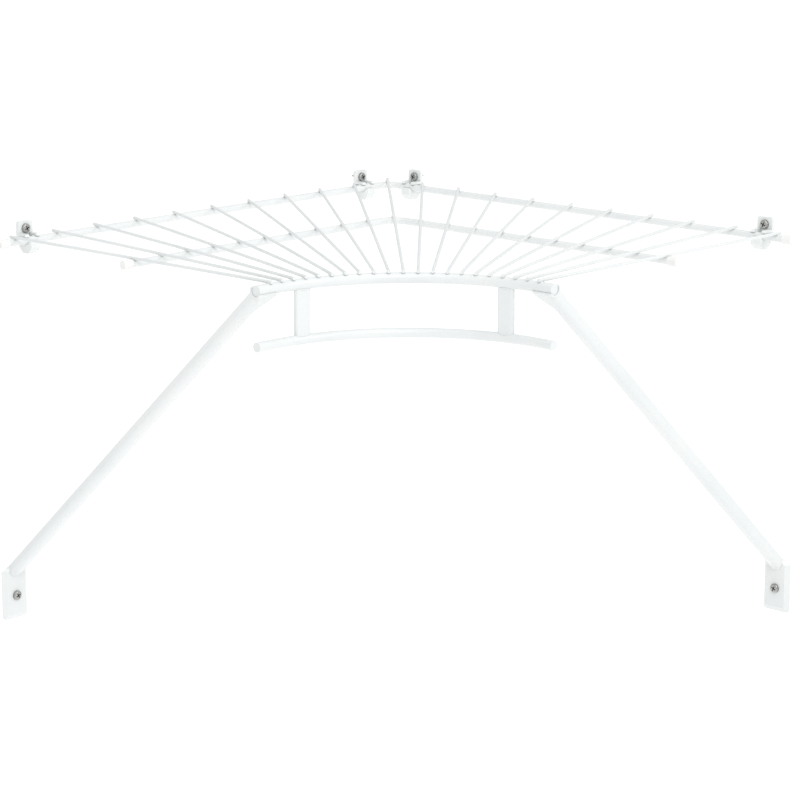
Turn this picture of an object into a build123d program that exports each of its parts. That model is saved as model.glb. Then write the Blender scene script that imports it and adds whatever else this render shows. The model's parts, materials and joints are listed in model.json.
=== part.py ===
from build123d import *
import math
import os

# Corner closet shelf of coated steel wire with a curved hanging rod, millimetres.
# +X points along the diagonal to the right, +Y into the room corner, +Z up.
# The origin is the line where the two wall planes meet, at the height of the deck's top.
# Each wall has its own coordinates: s along the wall from the corner, d out of the wall, z up.

# deck
WALL_GAP = 10.0          # wall plane to centre of back rod
SHELF_LENGTH = 493.0     # corner to the end of the back rod, along each wall
SHELF_DEPTH = 322.0      # wall plane to centre of the front bars' straight ends
WIRE_D = 2.8
ROD_D = 6.35
WIRES_PER_WALL = 10
WIRE_PITCH = 46.8        # along the back rod
WIRE_TAIL = 4.5          # wire past the centre of the back rod
WIRE_NOSE = 3.2          # wire past the centre of the front bar
WELD_SINK = 0.2          # how far a wire is pressed into a rod by resistance welding
MIDDLE_OFFSET = 163.3    # wall plane to centre of middle rod
MIDDLE_LENGTH = 487.0
BEND_R = 16.0            # bend of the two L-shaped rods

# front
TOP_BAR_D = 9.0
HANG_ROD_D = 8.0
BAR_DROP = 45.2          # between the centres of the two bars
FRONT_R = 150.0
FRONT_STRAIGHT = 16.5    # straight end of each bar, past the quarter circle
WIRE_PITCH_FRONT = 12.0  # along the top bar
POST_ANGLE = 33.0        # from the middle of the quarter circle
POST_WIDTH = 14.5
POST_THICKNESS = 5.0
POST_EDGE_R = 2.3

# end caps
CAP_LENGTH = 8.0
CAP_WALL = 0.8
CAP_END = 1.5
CAP_EDGE_R = 0.7

# wall clips
CLIP_PLACES = (39.7, 459.3)   # from the corner, along each wall
CLIP_WIDTH = 16.0             # tab and fingers
CLIP_TAB = 3.0                # thickness of the tab on the wall
CLIP_TAB_FOOT = 4.0           # tab's lower end below the rod's centre
CLIP_TAB_R = 2.2
CLIP_JAW = 10.0               # width of the jaw under the rod
CLIP_RISE = 16.0              # tab top above the rod's centre
CLIP_DROP = 11.5              # jaw bottom below the rod's centre
CLIP_REACH = 16.6             # jaw front from the wall
CLIP_LIP = -0.4               # front lip's top from the rod's centre
CLIP_CORNER = 5.0
CLIP_FINGER = 4.0             # width of each of the two fingers over the rod
CLIP_FINGER_T = 2.2
CLIP_FINGER_R = 1.7
CLIP_CLEAR = 0.1
CLIP_SCREW_RISE = 9.5         # screw above the rod's centre

# screws, number 8 pan head
HEAD_R = 4.1
HEAD_H = 2.6
HEAD_EDGE_R = 1.3
NECK_R = 2.2
NECK_LENGTH = 3.6        # plain neck inside the clip or the plate
SHANK_R = 1.9
SCREW_LENGTH = 12.7
SCREW_TIP = 4.0
SCREW_TIP_R = 0.3
HOLE_R = 2.3
RECESS_SPAN = 4.7
RECESS_WIDTH = 1.0
RECESS_DEPTH = 1.5
RECESS_TURN = 25.0       # of the cross recess from upright, degrees

# braces
SHEET = 1.5
BRACE_WIDTH = 14.0
BRACE_DEPTH = 9.0
BRACE_ROUND = 5.5
HOOK_WIDTH = 20.0
HOOK_END = 489.3              # outer edge of hook and strut, from the corner
HOOK_CLEAR = 0.08             # running clearance on the bar
HOOK_FROM = 145.0             # wrap of the hook round the bar, degrees from the room side
HOOK_TO = 325.0
FLARE_LENGTH = 24.0
FLARE_START = 3.0
PLATE_WIDTH = 28.0
PLATE_DEPTH = 3.5
PLATE_BEVEL = 4.2             # slanted rim, seen from the front
PLATE_LIP = 0.6               # depth of the plate at its lower edge
PLATE_EDGE_R = 0.6
PLATE_CORNER = 4.0
PLATE_SCREW_Z = -323.4
PLATE_BELOW = 21.5            # plate under its screw
NOSE_RISE = 17.0              # end of the strut's rib above the screw
PLATE_BEND_R = 10.0
BEND_BEVEL = 1.7              # slanted rim where the plate becomes the strut
BEND_SECTIONS = 6

# derived
DIAGONAL = math.sqrt(0.5)
WIRE_Z = -WIRE_D / 2
ROD_Z = -WIRE_D - ROD_D / 2 + WELD_SINK
TOP_BAR_Z = -WIRE_D - TOP_BAR_D / 2 + WELD_SINK
HANG_ROD_Z = TOP_BAR_Z - BAR_DROP
ARC_S = SHELF_DEPTH + FRONT_R
ARC_CENTRE_Y = -2 * ARC_S * DIAGONAL
HALF_ARC = FRONT_R * math.pi / 4
BAR_END = ARC_S + FRONT_STRAIGHT
PLATE_S = HOOK_END - BRACE_WIDTH / 2
NOSE_Z = PLATE_SCREW_Z + NOSE_RISE
HOOK_R = TOP_BAR_D / 2 + HOOK_CLEAR
WEB = HOOK_R + SHEET          # bar's centre to the strut's outer face, square to the strut
BRACE_RISE = TOP_BAR_Z - NOSE_Z
BRACE_RUN = SHELF_DEPTH - PLATE_DEPTH
BRACE_ANGLE = math.degrees(
    math.acos(WEB / math.hypot(BRACE_RISE, BRACE_RUN)) - math.atan2(BRACE_RUN, BRACE_RISE)
)


def wall_point(side, s, d, z):
    """A point in the object's frame; side is -1 for the left wall and 1 for the right."""
    return Vector(side * DIAGONAL * (s - d), -DIAGONAL * (s + d), z)


def on_wall(side, shape):
    """Place a shape drawn with X along the wall, Y out of it and Z up."""
    left_wall = Plane(
        origin=(0, 0, 0),
        x_dir=(-DIAGONAL, -DIAGONAL, 0),
        z_dir=(0, 0, 1),
    )
    placed = left_wall.location * shape
    if side > 0:
        placed = mirror(placed, about=Plane.YZ)
    return placed


def round_bar(path, diameter):
    start = Plane(origin=path @ 0, z_dir=path % 0)
    return sweep(start * Circle(diameter / 2), path=path)


def straight_bar(start, end, diameter):
    axis = end - start
    bar = Solid.make_cylinder(diameter / 2, axis.length, Plane(origin=start, z_dir=axis))
    return Part() + bar


# rods and bars

def bent_rod(offset, length):
    """One rod bent at the corner that runs along both walls."""
    path = FilletPolyline(
        wall_point(-1, length, offset, ROD_Z),
        wall_point(-1, offset, offset, ROD_Z),
        wall_point(1, length, offset, ROD_Z),
        radius=BEND_R,
    )
    return round_bar(path, ROD_D)


def front_bar(diameter, z):
    """A quarter circle that bows into the corner, with a straight end along each wall."""
    left_end = wall_point(-1, BAR_END, SHELF_DEPTH, z)
    left_tangent = wall_point(-1, ARC_S, SHELF_DEPTH, z)
    middle = Vector(0, ARC_CENTRE_Y + FRONT_R, z)
    right_tangent = wall_point(1, ARC_S, SHELF_DEPTH, z)
    right_end = wall_point(1, BAR_END, SHELF_DEPTH, z)
    path = Wire([
        Edge.make_line(left_end, left_tangent),
        Edge.make_three_point_arc(left_tangent, middle, right_tangent),
        Edge.make_line(right_tangent, right_end),
    ])
    return round_bar(path, diameter)


def front_place(side, along):
    """The point on the front bar's line at this distance from its middle."""
    if along > HALF_ARC:
        return wall_point(side, ARC_S + along - HALF_ARC, SHELF_DEPTH, WIRE_Z)
    angle = side * along / FRONT_R
    return Vector(
        FRONT_R * math.sin(angle),
        ARC_CENTRE_Y + FRONT_R * math.cos(angle),
        WIRE_Z,
    )


def deck_wire(step):
    """A wire from the back rod to the top bar; step counts from the centre wire."""
    side = -1 if step < 0 else 1
    count = abs(step)
    back = wall_point(side, WALL_GAP + count * WIRE_PITCH, WALL_GAP, WIRE_Z)
    front = front_place(side, count * WIRE_PITCH_FRONT)
    along = (front - back).normalized()
    return straight_bar(back - along * WIRE_TAIL, front + along * WIRE_NOSE, WIRE_D)


def post(side, top_bar, hang_rod):
    """A flat upright with rounded edges, coped to the two bars that it joins."""
    angle = math.radians(90 - side * POST_ANGLE)
    outward = Vector(math.cos(angle), math.sin(angle), 0)
    centre = Vector(0, ARC_CENTRE_Y, HANG_ROD_Z) + outward * FRONT_R
    tangent = Vector(-outward.Y, outward.X, 0)
    section = Plane(origin=centre, x_dir=tangent, z_dir=(0, 0, 1))
    flat = RectangleRounded(POST_WIDTH, POST_THICKNESS, POST_EDGE_R)
    upright = extrude(section * flat, amount=TOP_BAR_Z - HANG_ROD_Z)
    return upright - top_bar - hang_rod


def end_cap(end, direction):
    """A push-on cap over a rod's end; direction points out of the rod."""
    outer_r = ROD_D / 2 + CAP_WALL
    total = CAP_LENGTH + CAP_END
    body = Cylinder(outer_r, total, align=(Align.CENTER, Align.CENTER, Align.MIN))
    body = fillet(body.edges().sort_by(Axis.Z)[-1], CAP_EDGE_R)
    body -= Cylinder(ROD_D / 2, CAP_LENGTH, align=(Align.CENTER, Align.CENTER, Align.MIN))
    seat = Plane(origin=end - direction * CAP_LENGTH, z_dir=direction)
    return seat.location * body


# wall clips

def block(s_range, d_range, z_range):
    """A box between two values along the wall, out of it and up."""
    size = [high - low for low, high in (s_range, d_range, z_range)]
    corner = (s_range[0], d_range[0], z_range[0])
    return Location(corner) * Box(*size, align=(Align.MIN, Align.MIN, Align.MIN))


def clip_body():
    """A plastic saddle for the back rod, drawn about its own middle along the wall."""
    half = CLIP_WIDTH / 2
    bottom = ROD_Z - CLIP_DROP
    jaw = block((-CLIP_JAW / 2, CLIP_JAW / 2), (0, CLIP_REACH), (bottom, ROD_Z + CLIP_LIP))
    jaw = chamfer(jaw.edges().filter_by(Axis.X).group_by(Axis.Z)[0], CLIP_CORNER)
    tab = block((-half, half), (0, CLIP_TAB), (ROD_Z - CLIP_TAB_FOOT, ROD_Z + CLIP_RISE))
    tab = fillet(tab.edges().filter_by(Axis.Y).group_by(Axis.Z)[-1], CLIP_TAB_R)
    body = jaw + tab
    finger_low = ROD_Z + ROD_D / 2 + CLIP_CLEAR
    finger_out = WALL_GAP + ROD_D / 2
    for start in (-half, half - CLIP_FINGER):
        span = (start, start + CLIP_FINGER)
        arm = block(span, (0, finger_out), (finger_low, finger_low + CLIP_FINGER_T))
        arm_end = arm.edges().filter_by(Axis.X).group_by(Axis.Y)[-1].sort_by(Axis.Z)[-1]
        body += fillet(arm_end, CLIP_FINGER_R)
    channel_r = ROD_D / 2 + CLIP_CLEAR
    channel = Cylinder(channel_r, 2 * CLIP_WIDTH, rotation=(0, 90, 0))
    body -= Location((0, WALL_GAP, ROD_Z)) * channel
    hole = Cylinder(HOLE_R, 4 * CLIP_TAB, rotation=(90, 0, 0))
    return body - Location((0, 0, ROD_Z + CLIP_SCREW_RISE)) * hole


def pan_screw():
    """A pan-head screw standing on its tip side down, seated at z = 0."""
    head = Cylinder(HEAD_R, HEAD_H, align=(Align.CENTER, Align.CENTER, Align.MIN))
    head = fillet(head.edges().sort_by(Axis.Z)[-1], HEAD_EDGE_R)
    neck = Cylinder(NECK_R, NECK_LENGTH, align=(Align.CENTER, Align.CENTER, Align.MAX))
    shank_length = SCREW_LENGTH - SCREW_TIP
    shank = Cylinder(SHANK_R, shank_length, align=(Align.CENTER, Align.CENTER, Align.MAX))
    tip = Cone(SCREW_TIP_R, SHANK_R, SCREW_TIP, align=(Align.CENTER, Align.CENTER, Align.MAX))
    screw = head + neck + shank + Location((0, 0, -shank_length)) * tip
    for turn in (0, 90):
        slot = Box(RECESS_SPAN, RECESS_WIDTH, 2 * RECESS_DEPTH)
        screw -= Location((0, 0, HEAD_H), (0, 0, turn + RECESS_TURN)) * slot
    return screw


def wall_screw(s, d, z):
    """The pan screw turned to point into the wall, its head seated at distance d."""
    seat = Plane(origin=(s, d, z), x_dir=(1, 0, 0), z_dir=(0, 1, 0))
    return seat.location * pan_screw()


# braces: each is one pressed sheet with a plate, a ribbed strut and a hook

def brace_frames():
    """The strut's direction and its outward normal, in the wall's own axes."""
    angle = math.radians(BRACE_ANGLE)
    along = Vector(0, math.cos(angle), math.sin(angle))
    outward = Vector(0, math.sin(angle), -math.cos(angle))
    return along, outward


def tray_section(half_width, depth, bevel, inset):
    """A shallow U with slanted sides and rounded corners; with an inset, its hollow."""
    slope = bevel / depth
    back = 2 * inset
    middle = half_width - inset * math.hypot(slope, 1)
    low = middle + slope * back
    high = middle - slope * (depth - inset)
    outline = Polyline(
        (-low, -back),
        (-high, depth - inset),
        (high, depth - inset),
        (low, -back),
        close=True,
    )
    face = make_face(outline)
    corners = face.vertices().sort_by(Axis.Y)[-2:]
    return fillet(corners, PLATE_EDGE_R)


def brace_pieces(inset):
    """Solids that make up the brace's outer shape, or with an inset the hollow behind it."""
    along, outward = brace_frames()
    back = 2 * inset
    bar = Vector(PLATE_S, SHELF_DEPTH, TOP_BAR_Z)
    opening = WEB - BRACE_DEPTH
    strut_round = BRACE_ROUND - inset

    # straight plate, looking up from its lower end
    plate_low = PLATE_SCREW_Z - PLATE_BELOW
    wall_line = bar + outward * opening
    meet_z = wall_line.Z - wall_line.Y * math.tan(math.radians(BRACE_ANGLE))
    tangent = PLATE_BEND_R * math.tan(math.radians((90 - BRACE_ANGLE) / 2))
    bend_z = meet_z - tangent

    def plate_face(z, depth, bevel):
        section = tray_section(PLATE_WIDTH / 2, depth, bevel, inset)
        return Plane(origin=(PLATE_S, 0, z), x_dir=(1, 0, 0), z_dir=(0, 0, 1)) * section

    full_face = plate_face(plate_low + PLATE_BEVEL, PLATE_DEPTH, PLATE_BEVEL)
    lip_depth = PLATE_LIP + inset
    lip_bevel = PLATE_BEVEL * lip_depth / PLATE_DEPTH
    low_face = plate_face(plate_low + inset, lip_depth, lip_bevel)
    low_end = loft([low_face, full_face], ruled=True)
    straight = extrude(full_face, amount=bend_z - plate_low - PLATE_BEVEL)

    # bend from the wall to the strut, narrowing from plate to strut width
    sections = []
    for step in range(BEND_SECTIONS + 1):
        part = step / BEND_SECTIONS
        turn = math.radians(90 - BRACE_ANGLE) * part
        origin = Vector(
            PLATE_S,
            PLATE_BEND_R * (1 - math.cos(turn)),
            bend_z + PLATE_BEND_R * math.sin(turn),
        )
        direction = Vector(0, math.sin(turn), math.cos(turn))
        ease = part * part * (3 - 2 * part)
        half = (PLATE_WIDTH + (BRACE_WIDTH - PLATE_WIDTH) * ease) / 2
        bevel = PLATE_BEVEL + (BEND_BEVEL - PLATE_BEVEL) * ease
        section = tray_section(half, PLATE_DEPTH, bevel, inset)
        sections.append(Plane(origin=origin, x_dir=(1, 0, 0), z_dir=direction) * section)
    bend = loft(sections)

    # strut, from behind the plate to under the bar
    length = wall_line.Y / along.Y
    start = wall_line - along * (length + BRACE_DEPTH)
    half = BRACE_WIDTH / 2 - inset
    depth = BRACE_DEPTH - inset
    outline = make_face(Polyline(
        (-half, -back),
        (-half, depth),
        (half, depth),
        (half, -back),
        close=True,
    ))
    outline = fillet(outline.vertices().sort_by(Axis.Y)[-2:], strut_round)
    plane = Plane(origin=start, x_dir=(1, 0, 0), z_dir=along)
    rib = extrude(plane * outline, amount=length + BRACE_DEPTH)
    behind_wall = block((0, 2 * PLATE_S), (-SHELF_DEPTH, -inset), (2 * PLATE_SCREW_Z, 0))
    return low_end, straight, bend, rib - behind_wall


def brace_body():
    along, outward = brace_frames()
    bar = Vector(PLATE_S, SHELF_DEPTH, TOP_BAR_Z)
    shell = Part() + list(brace_pieces(0))
    for hollow in brace_pieces(SHEET):
        shell -= hollow

    # rounded lower corners of the plate
    plate_low = PLATE_SCREW_Z - PLATE_BELOW
    trim = block(
        (PLATE_S - PLATE_WIDTH / 2, PLATE_S + PLATE_WIDTH / 2),
        (-SHEET, 2 * SHELF_DEPTH),
        (plate_low, -plate_low),
    )
    trim = fillet(trim.edges().filter_by(Axis.Y).group_by(Axis.Z)[0], PLATE_CORNER)
    shell &= trim

    # hook round the bar
    hook_from = math.radians(HOOK_FROM)
    hook_middle = math.radians((HOOK_FROM + HOOK_TO) / 2)
    hook_to = math.radians(HOOK_TO)

    def ring_point(radius, angle):
        return (radius * math.cos(angle), radius * math.sin(angle))

    def ring_arc(radius):
        ends = (hook_from, hook_middle, hook_to)
        return Edge.make_three_point_arc(*[ring_point(radius, angle) for angle in ends])

    band = make_face([
        ring_arc(HOOK_R),
        Edge.make_line(ring_point(HOOK_R, hook_to), ring_point(WEB, hook_to)),
        ring_arc(WEB),
        Edge.make_line(ring_point(WEB, hook_from), ring_point(HOOK_R, hook_from)),
    ])
    hook_plane = Plane(
        origin=(HOOK_END - HOOK_WIDTH, SHELF_DEPTH, TOP_BAR_Z), x_dir=(0, 1, 0), z_dir=(1, 0, 0)
    )
    hook = extrude(hook_plane * band, amount=HOOK_WIDTH)

    # flare of the web from the strut's width to the hook's
    flare_plane = Plane(origin=bar + outward * HOOK_R, x_dir=(1, 0, 0), z_dir=outward)
    inner = BRACE_WIDTH / 2
    wide = HOOK_WIDTH - inner
    crown = inner - BRACE_ROUND
    up = flare_plane.y_dir.dot(along)
    flare = make_face(Polyline(
        (crown, up * -FLARE_START),
        (-wide, up * -FLARE_START),
        (-crown, up * -FLARE_LENGTH),
        (crown, up * -FLARE_LENGTH),
        close=True,
    ))
    flare = extrude(flare_plane * flare, amount=SHEET)
    flare_top = make_face(Polyline(
        (inner, 0),
        (-wide, 0),
        (-wide, up * -FLARE_START),
        (inner, up * -FLARE_START),
        close=True,
    ))
    flare += extrude(flare_plane * flare_top, amount=SHEET)

    seat = Cylinder(HOOK_R, 4 * HOOK_WIDTH, rotation=(0, 90, 0))
    brace = (shell + flare - Location((PLATE_S, SHELF_DEPTH, TOP_BAR_Z)) * seat) + hook
    hole = Cylinder(HOLE_R, 8 * PLATE_DEPTH, rotation=(90, 0, 0))
    return brace - Location((PLATE_S, 0, PLATE_SCREW_Z)) * hole


def write(name, shape):
    export_step(shape, os.path.join("parts", name + ".step"))


def main():
    os.makedirs("parts", exist_ok=True)
    back_rod = bent_rod(WALL_GAP, SHELF_LENGTH)
    middle_rod = bent_rod(MIDDLE_OFFSET, MIDDLE_LENGTH)
    top_bar = front_bar(TOP_BAR_D, TOP_BAR_Z)
    hang_rod = front_bar(HANG_ROD_D, HANG_ROD_Z)
    write("back_rod", back_rod)
    write("middle_rod", middle_rod)
    write("front_top_bar", top_bar)
    write("hang_rod", hang_rod)

    for step in range(-WIRES_PER_WALL, WIRES_PER_WALL + 1):
        write("deck_wire_%02d" % (step + WIRES_PER_WALL + 1), deck_wire(step))

    clip = clip_body()
    brace = brace_body()
    for side, wall in ((-1, "left"), (1, "right")):
        write("post_" + wall, post(side, top_bar, hang_rod))
        outward = wall_point(side, 1, 0, 0)
        for name, length, offset in (
            ("back_rod", SHELF_LENGTH, WALL_GAP),
            ("middle_rod", MIDDLE_LENGTH, MIDDLE_OFFSET),
        ):
            end = wall_point(side, length, offset, ROD_Z)
            write(name + "_cap_" + wall, end_cap(end, outward))
        for place, s in zip(("inner", "outer"), CLIP_PLACES):
            write("clip_" + wall + "_" + place, on_wall(side, Location((s, 0, 0)) * clip))
            screw = wall_screw(s, CLIP_TAB, ROD_Z + CLIP_SCREW_RISE)
            write("clip_screw_" + wall + "_" + place, on_wall(side, screw))
        write("brace_" + wall, on_wall(side, brace))
        screw = wall_screw(PLATE_S, PLATE_DEPTH, PLATE_SCREW_Z)
        write("brace_screw_" + wall, on_wall(side, screw))


main()
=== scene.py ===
import json
import math

import bmesh
import bpy
from mathutils import Matrix, Vector


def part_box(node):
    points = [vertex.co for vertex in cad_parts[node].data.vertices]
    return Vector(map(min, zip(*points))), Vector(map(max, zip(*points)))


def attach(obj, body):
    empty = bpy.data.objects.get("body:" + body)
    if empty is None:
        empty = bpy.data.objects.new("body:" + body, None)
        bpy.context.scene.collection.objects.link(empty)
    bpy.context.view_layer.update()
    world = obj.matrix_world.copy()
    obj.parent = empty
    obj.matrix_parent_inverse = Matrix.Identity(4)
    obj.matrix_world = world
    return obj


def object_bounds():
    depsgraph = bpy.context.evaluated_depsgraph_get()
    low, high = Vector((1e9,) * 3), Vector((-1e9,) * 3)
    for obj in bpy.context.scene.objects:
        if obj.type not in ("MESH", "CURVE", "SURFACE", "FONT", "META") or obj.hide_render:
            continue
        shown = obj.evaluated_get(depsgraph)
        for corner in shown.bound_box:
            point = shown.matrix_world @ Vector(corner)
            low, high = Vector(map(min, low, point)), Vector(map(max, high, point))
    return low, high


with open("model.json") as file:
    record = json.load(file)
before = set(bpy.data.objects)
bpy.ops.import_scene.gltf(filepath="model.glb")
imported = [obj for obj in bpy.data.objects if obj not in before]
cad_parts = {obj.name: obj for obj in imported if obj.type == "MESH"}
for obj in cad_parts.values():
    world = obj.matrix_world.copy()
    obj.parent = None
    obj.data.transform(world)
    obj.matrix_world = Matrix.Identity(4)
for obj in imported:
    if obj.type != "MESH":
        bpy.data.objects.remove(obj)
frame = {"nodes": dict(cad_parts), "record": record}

cad_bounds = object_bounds()

MM = 0.001
DIAGONAL = math.sqrt(0.5)

# camera
CAMERA_PLACE = (-0.0688, -2.7527, 0.4024)
CAMERA_YAW = 1.816        # degrees, towards +X
CAMERA_PITCH = -12.99     # degrees, from level
CAMERA_LENS = 126.6
CAMERA_SENSOR = 36.0
CAMERA_SHIFT = (-0.0074, 0.0077)
CAMERA_FAR = 200.0

# studio
MIDDLE = (0.0, -0.35, -0.15)   # what the lights are aimed at
LIGHTS = (                     # name, place, size in metres, power in watts
    ("key", (2.4, -1.6, 1.5), 1.2, 15.0),
    ("front", (0.4, -3.3, 2.2), 1.0, 28.0),
    ("top", (0.2, -1.0, 2.6), 2.2, 19.0),
)
SKY_STRENGTH = 0.76
FLOOR_DROP = 1.6               # the shelf hangs, so the floor lies well below it
FLOOR_REACH = 40.0             # half its side
FLOOR_GLOW = 0.4

# object, as the frame's record and boxes have it
SHELF = "shelf"
COAT = "white_coat"
WIRES = sorted(name for name in frame["nodes"] if name.startswith("deck_wire_"))
RODS = ("back_rod", "middle_rod")
SLOTS = {row["node"]: row["material_slot"] for row in frame["record"]["subparts"]}

# welds; a size is a bead's half axes: long, short and up
WELD_SIZE = (2.3 * MM, 1.9 * MM, 1.1 * MM)
WELD_FROM_NOSE = 3.0 * MM      # centre of the front bead from the wire's end
POST_TURN = math.radians(33.0)
POST_WELD_SIZE = (8.3 * MM, 3.3 * MM, 1.5 * MM)
POST_WELD_IN = 0.5 * MM        # centre of a post's bead inside the post's end


# node helpers

def new_material(name):
    """A material with its nodes, its links and its shader."""
    material = bpy.data.materials.new(name)
    material.use_nodes = True
    nodes = material.node_tree.nodes
    shader = nodes["Principled BSDF"]
    return material, nodes, material.node_tree.links, shader


def noise(nodes, links, scale, detail=4.0, roughness=0.55):
    """Noise in the object's own metres, so its grain is the same size on every piece."""
    place = nodes.new("ShaderNodeTexCoord")
    texture = nodes.new("ShaderNodeTexNoise")
    texture.inputs["Scale"].default_value = scale
    texture.inputs["Detail"].default_value = detail
    texture.inputs["Roughness"].default_value = roughness
    links.new(place.outputs["Object"], texture.inputs["Vector"])
    return texture.outputs["Fac"]


def ramp(nodes, links, value, stops):
    """A colour ramp through (position, colour) stops."""
    node = nodes.new("ShaderNodeValToRGB")
    elements = node.color_ramp.elements
    while len(elements) < len(stops):
        elements.new(0.5)
    for element, (position, color) in zip(elements, stops):
        element.position = position
        element.color = (*color, 1.0)
    links.new(value, node.inputs["Fac"])
    return node.outputs["Color"]


def spread(nodes, links, value, low, high):
    """Map a 0 to 1 value to a range."""
    node = nodes.new("ShaderNodeMapRange")
    node.inputs["To Min"].default_value = low
    node.inputs["To Max"].default_value = high
    links.new(value, node.inputs["Value"])
    return node.outputs["Result"]


def mix(nodes, links, kind, amount, first, second):
    """Blend the second colour into the first one."""
    node = nodes.new("ShaderNodeMix")
    node.data_type = "RGBA"
    node.blend_type = kind
    node.inputs["Factor"].default_value = amount
    links.new(first, node.inputs["A"])
    links.new(second, node.inputs["B"])
    return node.outputs["Result"]


def bumps(nodes, links, shader, layers):
    """Stack bump layers of (height, strength, distance)."""
    previous = None
    for height, strength, distance in layers:
        node = nodes.new("ShaderNodeBump")
        node.inputs["Strength"].default_value = strength
        node.inputs["Distance"].default_value = distance
        links.new(height, node.inputs["Height"])
        if previous is not None:
            links.new(previous, node.inputs["Normal"])
        previous = node.outputs["Normal"]
    links.new(previous, shader.inputs["Normal"])


def crevice(nodes, links, distance, dark, light=(1.0, 1.0, 1.0), low=0.35, high=0.9):
    """Painted shade: a tint that darkens inside corners within this distance."""
    shade = nodes.new("ShaderNodeAmbientOcclusion")
    shade.inputs["Distance"].default_value = distance
    shade.samples = 8
    return ramp(nodes, links, shade.outputs["AO"], [(low, dark), (high, light)])


# materials

def powder_coat():
    """White epoxy powder coat on wire and sheet: orange peel, painted shade pooled in inside
    corners and rubbed patches.
    """
    material, nodes, links, shader = new_material("white_powder_coat")
    patches = noise(nodes, links, 14.0, detail=3.0)
    tone = ramp(nodes, links, patches, [
        (0.30, (0.715, 0.738, 0.733)),
        (0.55, (0.750, 0.768, 0.762)),
        (0.80, (0.778, 0.788, 0.778)),
    ])
    specks = noise(nodes, links, 420.0, detail=2.0)
    fine = ramp(nodes, links, specks, [
        (0.25, (0.950, 0.952, 0.950)),
        (0.50, (1.0, 1.0, 1.0)),
    ])
    # painted shade: inside corners within 2.5 mm are darkened in the base colour
    painted_corner_shade = crevice(nodes, links, 2.5 * MM, (0.82, 0.83, 0.83))
    tone = mix(nodes, links, "MULTIPLY", 0.5, tone, fine)
    tone = mix(nodes, links, "MULTIPLY", 0.8, tone, painted_corner_shade)
    links.new(tone, shader.inputs["Base Color"])
    gloss = spread(nodes, links, noise(nodes, links, 60.0), 0.26, 0.44)
    links.new(gloss, shader.inputs["Roughness"])
    shader.inputs["Coat Weight"].default_value = 0.25
    shader.inputs["Coat Roughness"].default_value = 0.18
    bumps(nodes, links, shader, [
        (noise(nodes, links, 620.0, detail=2.0), 0.10, 0.25 * MM),
        (noise(nodes, links, 95.0, detail=2.0), 0.08, 0.6 * MM),
    ])
    return material


def moulded_plastic(name, pale, shaded, grain):
    """Moulded white plastic: faint flow shading and a fine spark-eroded grain."""
    material, nodes, links, shader = new_material(name)
    flow = noise(nodes, links, 38.0, detail=2.0)
    tone = ramp(nodes, links, flow, [(0.3, shaded), (0.7, pale)])
    # painted shade: inside corners within 3 mm are darkened in the base colour
    painted_corner_shade = crevice(nodes, links, 3.0 * MM, (0.74, 0.75, 0.75))
    tone = mix(nodes, links, "MULTIPLY", 0.8, tone, painted_corner_shade)
    links.new(tone, shader.inputs["Base Color"])
    gloss = spread(nodes, links, noise(nodes, links, 240.0), 0.30, 0.46)
    links.new(gloss, shader.inputs["Roughness"])
    shader.inputs["Subsurface Weight"].default_value = 0.06
    shader.inputs["Subsurface Radius"].default_value = (0.004, 0.004, 0.004)
    shader.inputs["Subsurface Scale"].default_value = 0.4
    bumps(nodes, links, shader, [
        (noise(nodes, links, grain, detail=3.0), 0.16, 0.12 * MM),
        (noise(nodes, links, 70.0, detail=2.0), 0.06, 0.5 * MM),
    ])
    return material


def plated_steel():
    """Bright zinc on a pressed screw: streaks, painted shade darkening the recess and a slightly
    rough edge.
    """
    material, nodes, links, shader = new_material("plated_steel")
    streaks = noise(nodes, links, 900.0, detail=5.0)
    tone = ramp(nodes, links, streaks, [
        (0.25, (0.30, 0.30, 0.29)),
        (0.60, (0.46, 0.46, 0.44)),
        (0.85, (0.62, 0.61, 0.58)),
    ])
    # painted shade: the recess and inside corners within 1.6 mm are darkened almost to black in the
    # base colour
    painted_recess_shade = crevice(nodes, links, 1.6 * MM, (0.05, 0.05, 0.05), low=0.25, high=0.95)
    tone = mix(nodes, links, "MULTIPLY", 0.95, tone, painted_recess_shade)
    links.new(tone, shader.inputs["Base Color"])
    shader.inputs["Metallic"].default_value = 0.95
    gloss = spread(nodes, links, noise(nodes, links, 500.0), 0.24, 0.42)
    links.new(gloss, shader.inputs["Roughness"])
    bumps(nodes, links, shader, [(noise(nodes, links, 1400.0), 0.15, 0.08 * MM)])
    return material


def studio_floor():
    """Pale matt floor that glows a little, so that it stays even."""
    material, nodes, links, shader = new_material("studio_floor")
    tone = ramp(nodes, links, noise(nodes, links, 1.5), [
        (0.3, (0.90, 0.90, 0.90)),
        (0.7, (0.93, 0.93, 0.93)),
    ])
    links.new(tone, shader.inputs["Base Color"])
    shader.inputs["Roughness"].default_value = 0.9
    shader.inputs["Emission Color"].default_value = (1.0, 1.0, 1.0, 1.0)
    shader.inputs["Emission Strength"].default_value = FLOOR_GLOW
    return material


MATERIALS = {
    COAT: powder_coat(),
    "clip_plastic": moulded_plastic("clip_plastic", (0.80, 0.82, 0.81), (0.76, 0.78, 0.77), 1100.0),
    "cap_plastic": moulded_plastic("cap_plastic", (0.84, 0.84, 0.82), (0.80, 0.80, 0.78), 700.0),
    "screw_steel": plated_steel(),
}


def dress_frame():
    """Give every CAD node the finished material of its slot."""
    for name, node in frame["nodes"].items():
        finish = MATERIALS[SLOTS[name]]
        if not node.material_slots:
            node.data.materials.append(finish)
        for slot in node.material_slots:
            slot.material = finish


# pieces

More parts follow.
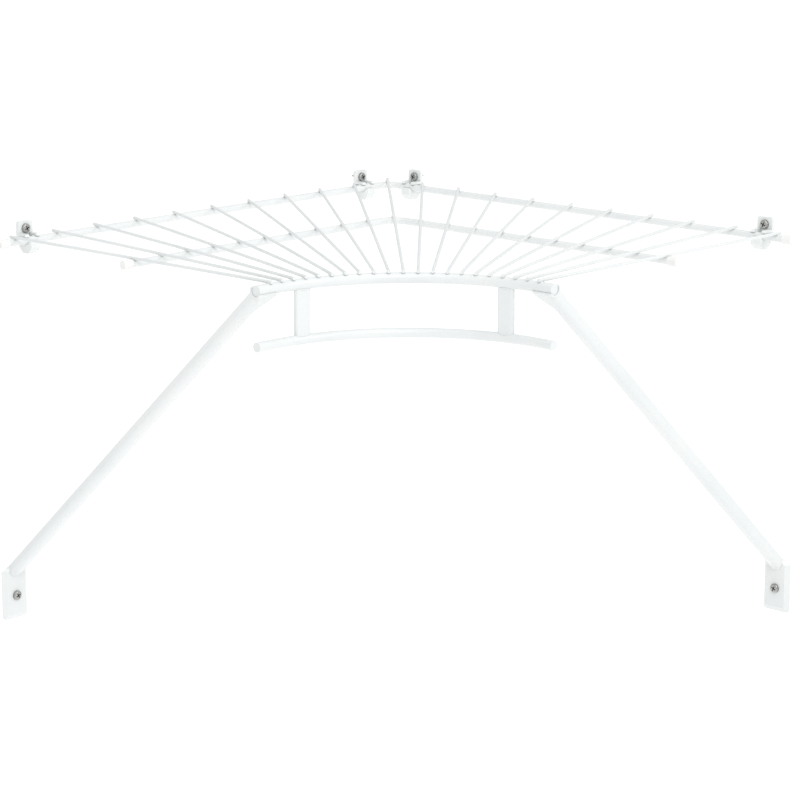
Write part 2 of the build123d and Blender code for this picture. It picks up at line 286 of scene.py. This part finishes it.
def add_piece(name, mesh_builder, body, slot):
    """Make an object from a bmesh, with its slot's material, and let it ride on a body."""
    mesh = bpy.data.meshes.new(name)
    mesh_builder.to_mesh(mesh)
    mesh_builder.free()
    for polygon in mesh.polygons:
        polygon.use_smooth = True
    piece = bpy.data.objects.new(name, mesh)
    bpy.context.scene.collection.objects.link(piece)
    mesh.materials.append(MATERIALS[slot])
    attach(piece, body)


def bead(builder, place, across, sizes):
    """A flattened weld bead; across is its long axis in plan, sizes are its half axes."""
    made = bmesh.ops.create_icosphere(builder, subdivisions=2, radius=1.0)["verts"]
    turn = Matrix.Rotation(math.atan2(across.y, across.x), 4, "Z")
    size = Matrix.Diagonal((*sizes, 1.0))
    bmesh.ops.transform(builder, matrix=Matrix.Translation(place) @ turn @ size, verts=made)


def wire_ends(name):
    """Centres of a deck wire's back and front ends, in metres."""
    vertices = frame["nodes"][name].data.vertices
    points = sorted((vertex.co for vertex in vertices), key=lambda point: point.y)
    half = len(points) // 2
    front = sum(points[:half], Vector()) / half
    back = sum(points[-half:], Vector()) / half
    return back, front


def rod_offset(name):
    """Distance from the walls to an L-shaped rod's centre, from its box."""
    low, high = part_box(name)
    return -DIAGONAL * (high[0] + low[1])


def wall_distance(point):
    """Distance from a point to the wall on its own side of the corner."""
    return -DIAGONAL * (abs(point.x) + point.y)


def deck_welds():
    """Resistance-weld beads where each deck wire crosses the rods and the top bar."""
    builder = bmesh.new()
    offsets = [rod_offset(name) for name in RODS]
    for name in WIRES:
        back, front = wire_ends(name)
        along = (front - back).normalized()
        across = Vector((-along.y, along.x, 0.0))
        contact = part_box(name)[0][2]
        first = wall_distance(back)
        last = wall_distance(front)
        for offset in offsets:
            share = (offset - first) / (last - first)
            place = back.lerp(front, share)
            place.z = contact
            bead(builder, place, across, WELD_SIZE)
        place = front - along * WELD_FROM_NOSE
        place.z = contact
        bead(builder, place, across, WELD_SIZE)
    add_piece("deck_welds", builder, SHELF, COAT)


def post_welds():
    """Fillets of weld where the two posts meet the bars."""
    builder = bmesh.new()
    for side in ("left", "right"):
        low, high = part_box("post_" + side)
        centre = (Vector(low) + Vector(high)) / 2
        sign = 1.0 if centre.x > 0 else -1.0
        across = Vector((math.cos(POST_TURN), -sign * math.sin(POST_TURN), 0.0))
        for level in (low[2] + POST_WELD_IN, high[2] - POST_WELD_IN):
            bead(builder, Vector((centre.x, centre.y, level)), across, POST_WELD_SIZE)
    add_piece("post_welds", builder, SHELF, COAT)


# studio

def sky():
    """Even, slightly cool light from all round."""
    world = bpy.data.worlds.new("studio")
    world.use_nodes = True
    background = world.node_tree.nodes["Background"]
    background.inputs["Color"].default_value = (0.98, 0.99, 1.0, 1.0)
    background.inputs["Strength"].default_value = SKY_STRENGTH
    scene = bpy.context.scene
    scene.world = world
    scene.view_settings.view_transform = "Standard"


def area_light(name, place, size, power):
    """A square softbox aimed at the middle of the object."""
    data = bpy.data.lights.new(name, "AREA")
    data.shape = "SQUARE"
    data.size = size
    data.energy = power
    light = bpy.data.objects.new(name, data)
    light.location = place
    aim = Vector(MIDDLE) - Vector(place)
    light.rotation_euler = aim.to_track_quat("-Z", "Y").to_euler()
    bpy.context.scene.collection.objects.link(light)


def floor():
    """The plain floor below the object."""
    builder = bmesh.new()
    bmesh.ops.create_grid(builder, x_segments=2, y_segments=2, size=FLOOR_REACH)
    mesh = bpy.data.meshes.new("floor")
    builder.to_mesh(mesh)
    builder.free()
    plane = bpy.data.objects.new("floor", mesh)
    plane.location.z = cad_bounds[0][2] - FLOOR_DROP
    mesh.materials.append(studio_floor())
    bpy.context.scene.collection.objects.link(plane)


def camera():
    """The camera, in front of the shelf and a little above it."""
    data = bpy.data.cameras.new("camera")
    data.lens = CAMERA_LENS
    data.sensor_width = CAMERA_SENSOR
    data.shift_x, data.shift_y = CAMERA_SHIFT
    data.clip_end = CAMERA_FAR
    view = bpy.data.objects.new("camera", data)
    view.location = CAMERA_PLACE
    view.rotation_euler = (
        math.radians(90.0 + CAMERA_PITCH),
        0.0,
        math.radians(-CAMERA_YAW),
    )
    bpy.context.scene.collection.objects.link(view)
    bpy.context.scene.camera = view


dress_frame()
deck_welds()
post_welds()
sky()
for light in LIGHTS:
    area_light(*light)
floor()
camera()
